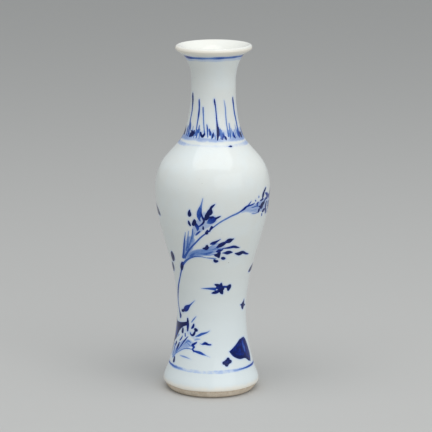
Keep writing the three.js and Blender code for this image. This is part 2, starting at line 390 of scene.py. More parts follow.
# The band round the neck: tall lines, and dark short ones at their feet.
NECK_BAND = [
    [(-66, 103.6, 0.8, 1), (-65.5, 102.8, 1.05, 1), (-63.5, 101.5, 1, 1), (-62.5, 100, 0.75, 0.85),
     (-62, 98.2, 0.65, 0.72), (-63, 95.9, 0.65, 0.66), (-62.5, 93.7, 0.75, 0.68),
     (-60.5, 91.5, 0.75, 0.68), (-58.5, 89.6, 0.7, 0.62)],
    [(-38.5, 102.1, 0.45, 0.7), (-37.5, 100.9, 0.65, 0.75), (-36.5, 99.6, 0.6, 0.72),
     (-36.5, 97.5, 0.7, 0.82), (-37, 95.7, 0.55, 0.68), (-37.5, 93.7, 0.5, 0.62),
     (-37.5, 92, 0.5, 0.62), (-37.5, 90.2, 0.55, 0.6)],
    [(-26, 99.6, 0.45, 0.68), (-25, 98.4, 0.5, 0.62), (-23.5, 96.6, 0.45, 0.58),
     (-21.5, 94.4, 0.45, 0.55), (-19, 92.2, 0.45, 0.6), (-17, 90.7, 0.55, 0.7)],
    [(2.5, 102.6, 0.3, 0.85), (3, 101.8, 0.55, 0.95), (5, 100.3, 0.5, 0.8), (6.5, 98.5, 0.45, 0.74),
     (7.5, 96.7, 0.5, 0.8), (8.5, 94.9, 0.55, 0.84), (9.5, 93.2, 0.75, 0.95), (10, 91.4, 0.9, 1),
     (9.5, 90.1, 0.8, 1), (8.5, 89, 0.45, 1)],
    [(28, 102.1, 0.3, 0.3), (29.5, 101, 0.4, 0.42), (31, 99.2, 0.45, 0.5), (31, 97.4, 0.45, 0.52),
     (31, 95.4, 0.5, 0.52), (31.5, 93.4, 0.5, 0.52), (32, 91.6, 0.55, 0.56), (32, 89.9, 0.55, 0.6)],
    [(58.5, 102.5, 0.55, 0.9), (59, 101.4, 0.85, 0.82), (60, 99.8, 0.8, 0.7), (60.5, 98, 0.8, 0.68),
     (62, 96.2, 0.85, 0.66), (63.5, 94.3, 0.85, 0.62), (63.5, 92.5, 0.95, 0.62), (64, 90.7, 1, 0.66),
     (62, 89.4, 1, 0.7)],
    [(-95, 92.8, 0.4, 1), (-91, 91.2, 1.3, 1), (-86.5, 89.8, 1, 1)],
    [(-83, 92.2, 0.5, 1), (-81, 91, 1.5, 1), (-77, 89.9, 1.2, 1)],
    [(-68, 92.6, 0.6, 0.66), (-66.5, 91, 0.85, 0.66), (-64.5, 89.6, 0.7, 0.6)],
    [(-60.5, 94.2, 0.4, 0.6), (-57.5, 93, 0.7, 0.68), (-55.5, 91.6, 0.5, 0.62)],
    [(-50.5, 90.6, 0.85, 1), (-51, 89.7, 1, 1)],
    [(-51, 91.4, 0.5, 1), (-46, 90.9, 0.9, 1), (-45.5, 90.1, 1.1, 1)],
    [(-43.5, 91.6, 0.5, 1), (-42.5, 90.8, 0.8, 1)],
    [(-34.5, 92, 0.4, 0.6), (-34, 90.7, 0.55, 0.66), (-34.5, 89.4, 0.55, 0.55)],
    [(-31.5, 93.6, 0.35, 0.6), (-31.5, 92.5, 0.55, 0.66), (-31.5, 91.2, 0.55, 0.62)],
    [(-26, 91.3, 0.5, 0.95), (-24, 90.4, 0.8, 1), (-21.5, 90, 0.85, 1), (-19, 90.5, 0.7, 1),
     (-18, 91.1, 0.45, 0.9)],
    [(-14, 94, 0.35, 0.6), (-12.5, 92.9, 0.55, 0.68), (-11.5, 91.4, 0.5, 0.7), (-10.5, 89.9, 0.4, 0.6)],
    [(-8, 92.6, 0.4, 0.72), (-6.5, 91.6, 0.65, 0.8), (-6, 90.6, 0.55, 0.78)],
    [(0.5, 91.4, 0.35, 0.9), (0, 90.6, 0.55, 1), (-0.5, 89.8, 0.45, 0.95)],
    [(15.5, 92.6, 0.4, 0.5), (16.5, 91.4, 0.6, 0.58), (16, 89.7, 0.5, 0.6)],
    [(12.5, 93.2, 0.35, 0.55), (13, 91.8, 0.45, 0.62), (13, 90.4, 0.4, 0.66)],
    [(20.5, 91.3, 0.3, 0.6), (21, 90.5, 0.45, 0.8), (19.5, 89.6, 0.5, 0.85)],
    [(24.5, 90, 0.55, 0.95), (26, 89.5, 0.7, 1), (26, 89, 0.45, 0.95)],
    [(15, 89.4, 0.4, 0.9), (18.5, 89.2, 0.4, 0.9)],
    [(38, 94.2, 0.45, 0.42), (38, 92.8, 0.6, 0.5), (38, 91.3, 0.55, 0.55), (37.5, 89.8, 0.55, 0.6)],
    [(45.5, 91.4, 0.4, 0.6), (46, 90.7, 0.7, 0.7), (46.5, 89.8, 0.85, 0.85), (48, 89.3, 0.6, 0.9)],
    [(61, 92.1, 0.65, 0.55), (61, 91, 0.95, 0.62), (60.5, 89.9, 0.95, 0.6)],
    [(70.5, 90.7, 0.75, 0.9), (71, 90.1, 1.5, 1), (70.5, 89.4, 1.4, 1)],
]

# Pale blades between them, each from its top down to where all of them end.
BLADE_FOOT = 89.3
PALE_BLADES = [
    [(a, top, 0.35, 0.36), (a + 0.5, (top + BLADE_FOOT) / 2, 0.55, 0.46), (a + 1, BLADE_FOOT, 0.5, 0.42)]
    for a, top in (
        (-55.5, 91.6), (-48, 93), (-41.5, 91.8), (-29, 92.4), (-3.5, 91.6), (3.5, 91), (18.5, 92.2),
        (22.5, 91.6), (34.5, 92), (41.5, 92.6), (51, 92), (55.5, 93.4),
    )
]

# Three reeds on one stem: the stems, and the heads from left to right.
STEMS = [
    [(-64, 25.9, 0.5, 0.87), (-63, 26.7, 1.4, 0.89), (-65, 27.4, 1.05, 0.85), (-70, 29.4, 0.75, 0.7),
     (-73, 31.6, 0.95, 0.69), (-71, 34.1, 1.1, 0.84), (-67, 35.9, 0.95, 0.84), (-60.5, 38.5, 0.7, 0.72),
     (-52, 41.8, 0.55, 0.69), (-45, 45, 0.7, 0.8)],
    [(-46.5, 44.3, 1.1, 1), (-44.5, 45.6, 1.5, 0.97), (-42.5, 46.6, 1.2, 0.8)],
    [(-37, 48.9, 0.95, 0.66), (-33, 50.4, 0.85, 0.62), (-26, 52.8, 0.7, 0.64), (-18, 55.3, 0.6, 0.66),
     (-11.5, 57.4, 0.55, 0.7), (-4.5, 59.2, 0.45, 0.8), (0.5, 60.7, 0.45, 0.7), (4, 61.7, 0.5, 0.6),
     (9.5, 63, 0.55, 0.56), (15, 64, 0.6, 0.55), (20, 64.8, 0.6, 0.58), (26.5, 65.6, 0.65, 0.6),
     (31.5, 66.5, 0.75, 0.8), (33.5, 66.9, 0.95, 0.88), (35.5, 67.4, 0.8, 0.85), (38, 67.7, 0.65, 0.8)],
    [(-43, 46, 1, 0.63), (-33, 48.3, 0.75, 0.59), (-25, 49.5, 0.6, 0.61), (-11.5, 49.9, 0.4, 0.58),
     (-3.5, 49.5, 0.35, 0.58), (5, 49.4, 0.3, 0.59)],
]

CROOK_HEAD = [
    [(-30, 58.4, 0.3, 0.4), (-32, 56.1, 0.55, 0.62), (-34.5, 53.5, 0.7, 0.66), (-37, 50.8, 0.8, 0.66),
     (-39.5, 48.8, 0.95, 0.66)],
    [(-26, 59, 0.35, 0.35), (-27.5, 56.8, 0.55, 0.5), (-29, 54.4, 0.7, 0.52),
     (-32.5, 51.8, 0.75, 0.55)],
    [(-21, 59.9, 0.45, 0.55), (-21.5, 58.4, 0.6, 0.6), (-23.5, 56.4, 0.6, 0.55),
     (-26.5, 54.3, 0.7, 0.52), (-30.5, 52.1, 0.7, 0.55)],
    [(-19, 58.8, 0.3, 0.4), (-21, 57, 0.4, 0.45), (-23.5, 55.1, 0.45, 0.45)],
    [(2.5, 69, 0.3, 0.85), (1, 68.6, 0.6, 0.93), (-1, 68, 0.9, 0.97)],
    [(-1, 68, 0.85, 0.97), (-2, 67.1, 1.1, 1), (-2.5, 66.2, 1.9, 1), (-4, 65.7, 1.55, 1),
     (-6, 65, 1.1, 0.97)],
    [(-4.5, 65.4, 1.1, 1), (-5.5, 64.5, 1.65, 1), (-6.5, 63.8, 1.1, 0.97)],
    [(8, 64.8, 0.3, 0.95), (5.5, 64.4, 0.65, 1), (3, 64, 0.95, 0.95), (0.5, 63.6, 2.1, 0.78),
     (-2.5, 62.9, 1.75, 0.66), (-5, 62.4, 0.65, 0.5)],
    [(-2, 64.4, 0.8, 0.95), (0.5, 64.5, 0.85, 0.95)],
    [(-9.5, 71, 0.25, 0.42), (-10, 70.1, 0.4, 0.48), (-11, 68.7, 0.6, 0.55), (-12, 67.5, 1.1, 0.64),
     (-13, 66, 1.7, 0.72), (-13.5, 64.9, 1.55, 0.72), (-13.5, 63.9, 0.95, 0.68),
     (-12.5, 63.1, 0.6, 0.6)],
    [(-11, 66, 0.45, 0.82), (-10.5, 64.9, 0.65, 0.88), (-9.5, 64, 0.75, 0.92), (-8.5, 63.1, 0.75, 0.95),
     (-9.5, 62.3, 0.75, 0.92), (-11.5, 61.6, 0.65, 0.85), (-13.5, 61.1, 0.55, 0.8)],
    [(-23, 66.6, 0.45, 0.9), (-23.5, 65.8, 1.05, 1), (-23.5, 64.9, 1.3, 1), (-24, 64.5, 0.6, 1)],
    [(-25, 62.7, 0.45, 0.9), (-24.5, 61.9, 0.9, 1), (-23.5, 61.2, 0.7, 0.95)],
    [(-18.5, 63.3, 0.6, 1), (-18.5, 62.5, 1.4, 1), (-20, 61.6, 1.15, 0.97)],
    [(-17.5, 61.8, 1.15, 0.85), (-16, 60.9, 1.3, 0.78), (-15.5, 60.1, 0.95, 0.7),
     (-16, 59.5, 0.5, 0.6)],
    [(-9.5, 61, 0.55, 0.9), (-9.5, 60.2, 0.75, 0.93)],
    [(-13, 59.3, 0.45, 0.7), (-15.5, 58.6, 0.7, 0.75), (-18, 57.8, 0.45, 0.65)],
    [(-0.5, 61, 0.85, 0.97), (-2, 60.1, 0.65, 0.93), (-3, 59.4, 0.55, 0.9)],
    [(-5, 59.7, 0.65, 0.97), (-6, 58.8, 1.15, 1)],
]

MIDDLE_HEAD = [
    [(-5.5, 54.3, 0.45, 1), (-6, 53.6, 1.2, 1), (-6, 53.1, 1, 1), (-8, 53.1, 0.95, 1),
     (-11, 53, 0.3, 1)],
    [(9, 56.5, 0.3, 0.8), (6, 55.9, 0.6, 0.88), (2.5, 55.3, 1.1, 0.93), (0, 55, 1, 0.9),
     (-2, 54.7, 0.4, 0.8)],
    [(24.5, 56.4, 0.35, 0.95), (22, 56.1, 0.95, 1), (19, 55.8, 1.75, 1), (16, 55.4, 1.05, 0.92),
     (12.5, 54.8, 1.45, 0.98), (9, 54.2, 1.45, 0.94), (5.5, 53.5, 0.6, 0.8)],
    [(34, 52.8, 0.3, 0.9), (30, 53.1, 0.8, 0.93), (26.5, 53.4, 1, 0.94), (21, 53.3, 0.9, 0.88),
     (12.5, 53.1, 0.35, 0.85)],
    [(25, 51.4, 0.4, 0.9), (21.5, 51.5, 1.2, 0.94), (18.5, 51.4, 1.4, 0.95), (15.5, 51.4, 0.75, 0.9),
     (12.5, 51.4, 0.35, 0.85)],
    [(52, 49.7, 0.45, 0.88), (46, 50.2, 0.8, 0.9), (40.5, 50.8, 1.2, 0.95), (36.5, 50.6, 1.55, 1),
     (33.5, 50.6, 1.2, 1), (29, 50.9, 0.35, 0.95)],
    [(12.5, 52.7, 0.4, 0.85), (9.5, 52.3, 0.9, 0.9), (6.5, 52.1, 0.9, 0.9), (5, 51.9, 0.4, 0.8)],
    [(9, 51.4, 0.9, 1), (7.5, 50.7, 1.45, 1), (8.5, 49.8, 0.55, 1)],
    [(8, 50.8, 1.25, 1), (5, 50.6, 1.1, 1), (3, 50.7, 0.4, 0.95)],
    [(12, 49.6, 0.6, 0.95), (14, 49.4, 1.2, 0.97), (16, 49.3, 0.65, 0.9)],
    [(2.5, 49, 0.4, 0.92), (4.5, 48.4, 1.2, 0.96), (6.5, 48.4, 0.9, 0.92)],
    [(-7, 49.7, 0.3, 0.5), (-2, 49.6, 0.4, 0.52), (4, 49.5, 0.3, 0.54)],
    [(-28.5, 49.7, 0.65, 0.52), (-24, 50.5, 0.95, 0.54), (-20, 51.3, 0.7, 0.48),
     (-15.5, 51.8, 0.4, 0.44)],
    [(-26, 50.6, 0.3, 0.44), (-17, 51.2, 0.4, 0.48), (-9, 51.1, 0.7, 0.54), (-3, 51.5, 0.9, 0.56),
     (1, 52, 0.5, 0.48)],
    [(-22, 50.2, 0.3, 0.4), (-12, 50.6, 0.4, 0.44), (-2, 50.7, 0.4, 0.5), (5, 51.2, 0.3, 0.52)],
    [(-24, 51.6, 0.4, 0.4), (-17, 52.2, 0.5, 0.4), (-9, 52.4, 0.5, 0.44), (-2.5, 52.5, 0.4, 0.48),
     (5, 53.4, 0.4, 0.54)],
    [(-9, 52.9, 0.4, 0.4), (-2, 53.8, 0.5, 0.4), (3, 54.6, 0.4, 0.44), (10, 54.9, 0.3, 0.48)],
    [(0, 52.6, 0.3, 0.48), (6, 52.9, 0.4, 0.52), (13, 53, 0.3, 0.6)],
]

FAR_HEAD = [
    [(38, 67.9, 0.55, 0.75), (40.5, 68.7, 0.45, 0.7), (41.5, 69.1, 0.3, 0.6)],
    [(37, 67.5, 0.55, 0.8), (40.5, 67.7, 0.6, 0.78), (45, 68, 0.5, 0.75), (47, 68.3, 0.25, 0.6)],
    [(42.5, 66.9, 0.4, 0.6), (46, 66.9, 0.45, 0.65), (49.5, 67, 0.5, 0.65), (53, 66.7, 0.35, 0.6)],
    [(47.5, 69.1, 0.55, 0.7), (48, 68.9, 0.55, 0.7)],
    [(52.5, 70.3, 0.5, 0.55), (52.5, 69.9, 0.55, 0.6)],
    [(51.5, 68.1, 0.7, 0.68), (51, 67.7, 0.85, 0.68), (51.5, 67, 0.65, 0.62)],
    [(64, 67.6, 1, 1), (61, 67.1, 1.6, 1), (58.5, 66.7, 1.6, 1), (58.5, 66, 1.25, 0.97)],
    [(66.5, 72.4, 0.6, 0.95), (64.5, 71.9, 0.9, 1), (61.5, 71, 1.15, 1), (60.5, 70.3, 1.45, 1),
     (59.5, 69.4, 0.75, 0.95)],
    [(55.5, 68.6, 0.45, 0.9), (58, 68.7, 0.75, 0.93), (61, 68.9, 0.55, 0.9)],
]

FAR_LEAVES = [
    [(65.5, 70.6, 0.65, 0.75), (69, 70, 1.25, 0.8), (71, 69.2, 1.9, 0.8), (68.5, 68.7, 0.95, 0.85),
     (65.5, 68.3, 0.85, 0.9)],
    [(78, 69.4, 0.85, 0.8), (74, 69.2, 0.95, 0.85)],
    [(70.5, 67.3, 0.9, 0.9), (69, 66.7, 1.15, 0.92), (69, 65.8, 1.5, 0.9), (69.5, 64.9, 1.35, 0.9),
     (72, 63.8, 1.7, 0.85)],
    [(66, 64.8, 0.9, 1), (63, 64.6, 1.15, 1), (61.5, 64.5, 0.55, 0.95)],
    [(54.5, 65.4, 1.2, 0.93), (54, 64.9, 0.9, 0.9)],
    [(75, 66.8, 1.15, 0.6), (81, 65.1, 1.85, 0.6), (76.5, 64.6, 0.8, 0.6)],
    [(43.5, 64.7, 0.3, 0.58), (48, 64.5, 0.35, 0.64), (52, 64.6, 0.35, 0.65), (54.5, 64.7, 0.35, 0.7)],
    [(41.5, 65.9, 0.25, 0.45), (45.5, 65.8, 0.3, 0.5), (50, 65.8, 0.3, 0.5)],
    [(61.5, 63.6, 0.65, 0.7), (62, 63.1, 0.7, 0.75)],
    [(88, 71.2, 0.3, 0.85), (83, 70.6, 1.2, 0.98), (79, 69, 1.3, 0.96), (75, 68.4, 0.4, 0.85)],
    [(91, 67.6, 0.3, 0.85), (86, 67.5, 1.3, 0.97), (81, 67, 1, 0.94), (76, 66.8, 0.4, 0.8)],
    [(89, 64.6, 0.3, 0.9), (84, 65, 1.1, 1), (79, 65.3, 0.9, 0.95), (75, 65.6, 0.4, 0.85)],
    [(81, 62.8, 0.4, 0.9), (78.5, 63.4, 1, 0.95)],
    [(95, 69.4, 0.4, 0.9), (92.5, 69.6, 1, 0.98)],
    [(54, 66.7, 0.5, 0.92), (57.5, 66.2, 0.9, 0.92), (61, 66, 0.6, 0.92)],
    [(49.5, 67.7, 0.4, 0.72), (51, 68, 0.8, 0.72), (52.5, 68.2, 0.4, 0.72)],
    [(64, 68.2, 0.5, 0.82), (65.5, 68.5, 0.9, 0.82), (68, 68.8, 0.5, 0.82)],
]

# Sprigs at the sides and marks that stand alone.
SPRIGS = [
    [(-96, 65.9, 0.5, 0.95), (-90, 65.2, 1.8, 1), (-84, 64.4, 2.6, 1), (-77, 63.6, 2.8, 1),
     (-71, 62.6, 1.2, 1)],
    [(-103, 71.4, 0.4, 0.9), (-99.5, 70.4, 1.3, 1), (-96.5, 69, 0.6, 0.95)],
    [(-109, 66.6, 0.4, 0.9), (-104.5, 65.6, 1.2, 0.97), (-99.5, 64, 1, 1), (-96.5, 62.8, 0.4, 0.9)],
    [(-119, 69.6, 0.3, 0.5), (-112, 69, 0.7, 0.6), (-106, 68.8, 0.4, 0.6)],
    [(-61, 49.5, 1, 1), (-62, 48.6, 2.3, 1), (-63.5, 47.4, 2.3, 1), (-65, 46.6, 1, 1)],
    [(-68.5, 45.3, 0.8, 0.9), (-70, 44.3, 1.9, 0.97), (-72.5, 43, 1.7, 0.97), (-74.5, 42.2, 0.6, 0.9)],
    [(90, 44.5, 0.4, 0.95), (84, 44, 1.6, 1), (77, 43.6, 2.2, 1), (70, 43, 1.8, 1),
     (66, 42.7, 0.7, 0.9)],
    [(100, 42.6, 0.3, 0.85), (94, 42, 1.1, 0.97), (88.5, 41.2, 0.5, 0.9)],
    [(101, 46.9, 0.3, 0.5), (95, 46.6, 0.6, 0.6), (89, 46.1, 0.3, 0.55)],
    [(66, 32.3, 0.6, 0.9), (64.5, 31.3, 1.4, 0.96), (62.5, 30.6, 2.1, 1), (63, 29.4, 0.8, 0.95)],
    [(54.5, 31, 0.3, 0.9), (62, 30.8, 1, 1), (73, 30.1, 0.3, 0.9)],
    [(23.5, 87, 0.15, 0.5), (28, 86.9, 0.3, 0.75), (31.5, 86.9, 0.7, 1), (33.5, 86.9, 0.35, 1)],
]

BANK = [
    [(-16, 38.1, 0.2, 0.5), (-9, 38.2, 0.5, 0.64), (-1.5, 38.2, 0.9, 0.66), (4.5, 38.1, 1.15, 0.76)],
    [(5, 39.7, 0.6, 0.9), (8.5, 39.4, 1.2, 0.94), (12, 38.9, 1.4, 0.94)],
    [(14, 40.1, 0.5, 0.93), (13.5, 39.3, 1.35, 0.95)],
    [(8.5, 38.6, 1.1, 0.92), (13, 38.4, 1.7, 0.95), (16.5, 38.1, 1.3, 0.95)],
    [(0.5, 36.6, 0.5, 0.87), (4.5, 36.8, 1.1, 0.94), (8.5, 37.1, 1.2, 0.95), (12.5, 37.7, 1, 0.93)],
    [(16.5, 36.3, 0.6, 1), (15, 37, 1.4, 1), (14.5, 37.8, 1.3, 0.96)],
    [(17.5, 38.7, 1, 0.82), (21, 38.7, 0.85, 0.8), (24, 38.6, 1, 0.88)],
    [(29, 39.2, 0.5, 0.93), (27, 38.6, 1.6, 1), (26.5, 38.2, 1.5, 1), (26, 37.4, 0.7, 0.95)],
]

PLANT = [
    [(-53.5, 22.4, 0.9, 1), (-54, 21.4, 1.2, 1)],
    [(-47, 21, 0.55, 0.75), (-46.5, 20.2, 0.6, 0.78)],
    [(-27, 23.2, 1.1, 1), (-25, 23, 1.1, 1)],
    [(-27.5, 22.4, 0.65, 0.93), (-29, 21.6, 0.9, 0.95), (-32, 21, 0.75, 0.94), (-35, 21.3, 0.6, 0.87),
     (-36.5, 21.9, 0.35, 0.6)],
    [(-30, 25, 0.45, 0.88), (-31.5, 24, 0.95, 0.93), (-34, 23.4, 0.5, 0.9)],
    [(-3, 23.1, 0.2, 0.55), (-8.5, 22.4, 0.55, 0.64), (-16, 21.8, 0.9, 0.67), (-21, 21.2, 0.8, 0.64),
     (-26, 20.8, 0.35, 0.5)],
    [(-27, 19.5, 0.5, 0.3), (-22.5, 19.9, 0.65, 0.33), (-18.5, 20, 0.45, 0.27)],
    [(-1, 18.3, 0.55, 0.8), (-5.5, 18.4, 0.75, 0.84), (-9.5, 18.7, 1.05, 0.9), (-13.5, 18.4, 0.6, 0.74),
     (-18, 18.5, 0.2, 0.55)],
    [(-23.5, 18.9, 0.35, 0.74), (-26.5, 18.3, 0.8, 0.86), (-30.5, 17.5, 0.8, 0.84),
     (-27, 17.1, 0.6, 0.78), (-29.5, 16.4, 0.6, 0.8), (-27, 15.7, 0.75, 0.82)],
    [(-28, 15.8, 0.5, 0.76), (-22.5, 15.6, 0.8, 0.74), (-17.5, 15.4, 1, 0.73), (-12.5, 15, 0.75, 0.66),
     (-7.5, 14.6, 0.35, 0.45), (-2, 14.1, 0.2, 0.25)],
    [(-53, 13.2, 0.2, 0.3), (-45, 13.2, 0.55, 0.44), (-37.5, 13.1, 0.45, 0.4), (-30, 12.8, 0.2, 0.25)],
    [(-72, 11.6, 0.9, 0.45), (-73.5, 13.8, 1, 0.56), (-72.5, 15.4, 0.9, 0.66),
     (-69.5, 16.7, 1.2, 0.97)],
    [(-69.5, 11.8, 0.7, 0.45), (-65.5, 14.1, 0.7, 0.55), (-61.5, 16, 1, 0.95),
     (-59.5, 17.3, 0.55, 0.75)],
    [(-67, 12.3, 0.45, 0.5), (-58.5, 15.1, 0.5, 0.56), (-51, 17.4, 0.55, 0.8), (-45.5, 19, 0.55, 0.84),
     (-40, 20.3, 0.25, 0.65)],
    [(-59, 18.1, 0.5, 0.76), (-55, 19.1, 0.55, 0.82), (-53, 19.9, 0.3, 0.65)],
    [(-65.5, 12.9, 0.35, 0.45), (-53, 14.9, 0.35, 0.5), (-40, 16.2, 0.45, 0.56),
     (-29.5, 16.2, 0.35, 0.6)],
    [(-68, 18.9, 0.35, 0.5), (-64, 19.9, 0.5, 0.55)],
    [(-65, 13.4, 0.35, 0.42), (-54.5, 16.1, 0.35, 0.48), (-45, 17.7, 0.35, 0.48),
     (-38.5, 18.8, 0.65, 0.52), (-34, 18.4, 0.4, 0.48)],
    [(-77, 12, 0.8, 0.42), (-81, 13.7, 0.8, 0.5), (-79, 15.2, 0.75, 0.55), (-76.5, 16, 0.55, 0.6)],
    [(-43, 18.4, 0.25, 0.5), (-38, 17.7, 0.4, 0.5), (-33, 17.2, 0.35, 0.55)],
]

PLANT_ENDS = [
    [(-57.5, 28.7, 0.95, 1), (-53.5, 28.9, 1.1, 1)],
    [(-52, 29.1, 0.85, 0.95), (-46.5, 29.9, 2, 0.87), (-42, 30.7, 1.4, 0.85), (-37, 31.6, 0.6, 0.72),
     (-32.5, 32.5, 0.4, 0.58), (-28, 33.4, 0.2, 0.4)],
    [(-26, 27.8, 0.2, 0.45), (-30, 26.8, 0.45, 0.6), (-34.5, 25.5, 0.35, 0.52)],
    [(-43, 26.5, 0.6, 0.92), (-42.5, 25.1, 1.15, 0.97), (-42, 23.8, 1.15, 0.94),
     (-42, 22.3, 0.7, 0.87)],
    [(-65.5, 11.6, 1.1, 1), (-65, 10.7, 1.5, 1)],
]

# Rocks are filled shapes, with a paler face where the brush was lifted.
ROCKS = [
    {
        "outline": [
            (-73, 18), (-79, 16.9), (-85, 14.6), (-87, 11.6), (-94, 10.5), (-104, 10.4),
            (-114, 11.2), (-119, 13.4), (-116, 17), (-108, 19.6), (-103, 23.4), (-96, 25.9),
            (-88, 25.4), (-77, 24.1), (-63.5, 24.3), (-55, 24.7), (-45.5, 25.3), (-44.5, 24),
            (-51.5, 23.4), (-58, 22.4), (-64, 21.2), (-68, 19.8),
        ],
        "tone": 1.0,
        "face": [
            (-104, 13, 1, 1), (-101, 17, 2.2, 1), (-96, 21, 2.4, 1), (-88, 22.6, 1.8, 1),
            (-80, 21.4, 1.6, 1), (-76, 19.4, 1, 1),
        ],
        "face_tone": 0.7,
    },
    {
        "outline": [
            (63, 19.3), (57, 19.4), (49, 19), (42, 17.8), (35, 16.7), (27.5, 15.6), (32, 14.8),
            (39, 13.8), (47, 12.8), (55.5, 12.7), (60.5, 11.8), (66.5, 10.8), (71.5, 10.2),
            (74.5, 11.5), (76, 13.2), (73.5, 15.4), (68, 18.1),
        ],
        "tone": 0.94,
        "face": [(56.5, 17.9, 0.3, 1), (58.5, 16.2, 0.6, 1), (60, 14.5, 0.3, 1)],
        "face_tone": 0.5,
    },
]

ROCK_EDGE = [
    [(29.5, 15.4, 0.4, 1), (34.5, 14.3, 0.9, 1), (40.5, 13.5, 1.2, 1), (48, 12.9, 1.2, 1),
     (56, 12.8, 1.2, 1), (66, 11.1, 0.8, 1)],
]

BLOT = [
    [(25, 13.1, 1.3, 1), (22, 11.4, 1.45, 1)],
    [(28, 12.3, 1.3, 1), (18.5, 12, 1.3, 1)],
    [(24, 12.2, 1.9, 1), (22.5, 12.2, 1.9, 1)],
]

# Pale washes lie under the strokes.
HEAD_WASHES = [
    [(-8, 65.3, 2.15, 0.22), (-10, 63.1, 3.6, 0.26), (-13.5, 61.1, 3.85, 0.28),
     (-17.5, 59.3, 2.95, 0.26)],
    [(0.5, 63.7, 3.1, 0.24), (-4.5, 62.4, 2.85, 0.26), (-9.5, 61.2, 2.4, 0.26)],
    [(-24.5, 55.8, 3.05, 0.36), (-28, 53.7, 3.4, 0.38), (-32, 51.6, 2.7, 0.4), (-36.5, 49.6, 1.7, 0.4)],
    [(30.5, 66, 1.1, 0.28), (36, 66.5, 1.8, 0.32), (42.5, 66.4, 2.65, 0.3), (51.5, 66.4, 3.7, 0.33),
     (60.5, 66.9, 4.35, 0.3)],
    [(-36.5, 48.2, 0.7, 0.34), (-27, 50.2, 2, 0.46), (-16, 51.4, 2.5, 0.48), (-5, 52, 2.8, 0.46),
     (4, 53, 2.9, 0.34), (13, 53.2, 2, 0.18)],
]

SIDE_WASHES = [
    [(66, 67, 3.6, 0.2), (85, 67.4, 3.2, 0.18)],
]

PLANT_WASHES = [
    [(-73, 12.8, 1, 0.28), (-62, 14.9, 2.7, 0.3), (-50.5, 16.9, 2.9, 0.3), (-40, 17.9, 2.9, 0.32),
     (-32.5, 17.9, 2, 0.26)],
    [(-45, 22.2, 1.2, 0.14), (-34, 21.4, 1.8, 0.16), (-26, 20.2, 1.6, 0.14)],
]

# The back isn't in the photo. The neck's band goes on there, and the reeds, the plant and the bank
# are painted once more: mirrored about an angle, raised, and resized about a height.
RESIZE_HEIGHT = 45
BACK_REEDS = (172, 1.5, 0.92)
BACK_PLANT = (178, -1.5, 0.96)
BACK_BANK = (196, 0, 1)
TALL_TOPS = (99.5, 104)
TALL_MIDDLE = 95.5
TALL_FOOT = 89.2
SHORT_TOPS = (90.6, 94.2)
SHORT_FOOT = 89.6


def carried(strokes, about, lift, size):
    """The same strokes painted again elsewhere: mirrored about an angle, raised and resized."""
    made = []
    for stroke in strokes:
        points = []
        for angle, height, width, tone in stroke:
            level = lift + size * (height - RESIZE_HEIGHT) + RESIZE_HEIGHT
            points.append((about - size * angle, level, size * width, tone))
        made.append(points)
    return made


def tall_line(angle):
    """One of the neck's tall lines, round the back."""
    start = angle + rng.uniform(-3, 3)
    top = rng.uniform(*TALL_TOPS)
    tone = rng.uniform(0.62, 0.85)
    bend = rng.uniform(-2, 2)
    foot = start + rng.uniform(-2, 3)
    middle = (start + bend, TALL_MIDDLE, 0.65, tone)
    return [(start, top, 0.5, 1.15 * tone), middle, (foot, TALL_FOOT, 0.9, 1.05 * tone)]


def short_line(angle):
    """One of the short ones at their feet."""
    lean = rng.uniform(-4, 4)
    top = rng.uniform(*SHORT_TOPS)
    place = angle + rng.uniform(-2.6, 2.6)
    width = rng.uniform(0.5, 1.5)
    tone = rng.uniform(0.55, 1)
    middle = (place + 0.5 * lean, (top + SHORT_FOOT) / 2, width, tone)
    return [(place, top, 0.4, 0.9 * tone), middle, (place + lean, SHORT_FOOT, 0.7 * width, tone)]


STROKES = [LIP_LINE] + NECK_BAND + PALE_BLADES + STEMS + CROOK_HEAD + MIDDLE_HEAD + FAR_HEAD
STROKES += FAR_LEAVES + SPRIGS + BANK + PLANT + PLANT_ENDS + ROCK_EDGE + BLOT + GROUND
STROKES += [tall_line(angle) for angle in np.arange(87, 266, 29.0)]
STROKES += [short_line(angle) for angle in np.arange(86, 270, 8.0)]
STROKES += carried(STEMS + CROOK_HEAD + MIDDLE_HEAD + FAR_HEAD, *BACK_REEDS)
STROKES += carried(PLANT, *BACK_PLANT) + carried(BANK + BLOT, *BACK_BANK)
PALE_STROKES = HEAD_WASHES + SIDE_WASHES + PLANT_WASHES + PALE_RINGS
PALE_STROKES += carried(HEAD_WASHES, *BACK_REEDS) + carried(PLANT_WASHES, *BACK_PLANT)


def outside_rows():
    """The outside as (radius, height) rows, from the glaze's lower edge up to the lip's crown."""
    rows, _, shown, _ = profile_rows("outer_glaze", 1)
    start = np.argmin(np.where(shown, rows[:, 1], np.inf))
    rows = np.roll(rows, -start, axis=0)
    return rows[: np.argmax(rows[:, 1]) + 1]


outside = outside_rows()


def radius_at(height):
    """The radius of the outside at a height."""
    return np.interp(height, outside[:, 1], outside[:, 0])


def samples(stroke):
    """The places along a stroke, in millimetres, with its half width and its strength at each."""
    points = np.array(stroke, float)
    points[:, 0] = np.radians(points[:, 0])
    flat = points[:, :2] * np.stack([radius_at(points[:, 1]), np.ones(len(points))], axis=1)
    knots = along(flat)
    at = np.linspace(0, knots[-1], max(FEWEST_SAMPLES, int(knots[-1] / SAMPLE_STEP) + 1))
    if len(points) > 2:
        angle, height, width, tone = spline(knots, points, at).T
    else:
        angle, height, width, tone = (np.interp(at, knots, values) for values in points.T)
    spots = around(radius_at(height), angle, height)
    return spots, np.maximum(width, THINNEST) / 2, np.clip(tone, 0, 1)


def edge_distance(away, half):
    """The distance from a stroke's edge, below zero inside it, smooth across the stroke's middle."""
    return np.where(away < half, (away**2 - half**2) / (2 * half), away - half)


